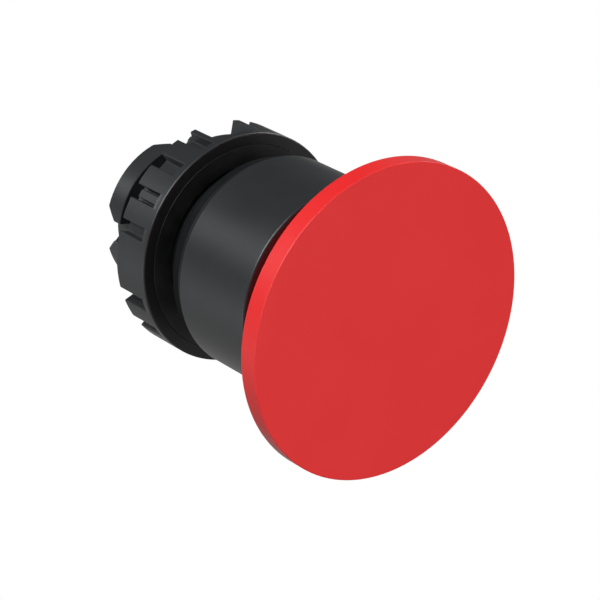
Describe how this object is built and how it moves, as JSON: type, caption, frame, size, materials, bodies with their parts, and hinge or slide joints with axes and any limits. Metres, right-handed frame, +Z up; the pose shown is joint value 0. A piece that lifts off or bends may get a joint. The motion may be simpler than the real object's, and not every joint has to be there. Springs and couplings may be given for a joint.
{
  "type": "emergency stop button",
  "caption": "Panel-mounted push-pull emergency stop button with a flat red mushroom head, a black collar, a threaded barrel, a castellated lock nut and a lugged rear coupling.",
  "frame": {"origin": "where the button's axis crosses the front face of the panel, which is the gasket's rear face", "axes": "+Y along the button's axis into the panel, so that the red head faces -Y; +Z up, through the locating key; +X to the right seen from the front"},
  "size_m": [0.04, 0.0448, 0.04],
  "materials": {
    "red_plastic": "satin, injection moulded",
    "black_plastic": "fine matt grain",
    "nut_plastic": "fine matt grain, glass filled",
    "seal_rubber": "matt rubber",
    "brass": "turned",
    "zinc_steel": "zinc plated",
    "hardened_steel": "ground",
    "spring_steel": "drawn wire, oiled",
    "black_steel": "black passivated",
    "white_acetal": "natural acetal",
    "grey_acetal": "grey acetal"
  },
  "bodies": {
    "housing": {"front_collar": "black_plastic", "threaded_barrel": "black_plastic", "wiper_seal": "seal_rubber", "panel_gasket": "seal_rubber", "locating_key": "black_plastic", "guide_bush": "white_acetal", "cam_sleeve": "grey_acetal", "coupling_ring": "black_plastic", "coupling_snap_ring": "spring_steel", "main_spring": "spring_steel"},
    "head": {"mushroom_head": "red_plastic", "head_insert": "brass", "stem_lock_washer": "zinc_steel", "spring_cup": "zinc_steel", "plunger_stem": "grey_acetal", "pusher_plate": "white_acetal", "pusher_clip": "spring_steel", "latch_spring_right": "spring_steel", "latch_spring_left": "spring_steel"},
    "bolt_right": {"latch_bolt_right": "hardened_steel"},
    "bolt_left": {"latch_bolt_left": "hardened_steel"},
    "washer": {"thrust_washer": "black_steel"},
    "nut": {"lock_nut": "nut_plastic"}
  },
  "joints": [
    {"name": "head_push", "type": "slide", "parent": "housing", "child": "head", "axis": [0, 1, 0], "range_m": [0, 0.006], "deforming": ["main_spring"]},
    {"name": "bolt_right_slide", "type": "slide", "parent": "head", "child": "bolt_right", "axis": [1, 0, 0], "range_m": [0, 0.0012], "deforming": ["latch_spring_right"]},
    {"name": "bolt_left_slide", "type": "slide", "parent": "head", "child": "bolt_left", "axis": [-1, 0, 0], "range_m": [0, 0.0012], "deforming": ["latch_spring_left"]},
    {"name": "washer_slide", "type": "slide", "parent": "housing", "child": "washer", "axis": [0, 1, 0], "range_m": [-0.002, 0.003]},
    {"name": "nut_spin", "type": "hinge", "parent": "washer", "child": "nut", "pos_m": [0, 0.006, 0], "axis": [0, 1, 0], "range_deg": [-720, 1080]}
  ],
  "couplings": [
    {"joint": "bolt_right_slide", "follows": "head_push", "ratio": 0.2},
    {"joint": "bolt_left_slide", "follows": "head_push", "ratio": 0.2},
    {"joint": "washer_slide", "follows": "nut_spin", "m_per_rad": 0.00015915}
  ]
}
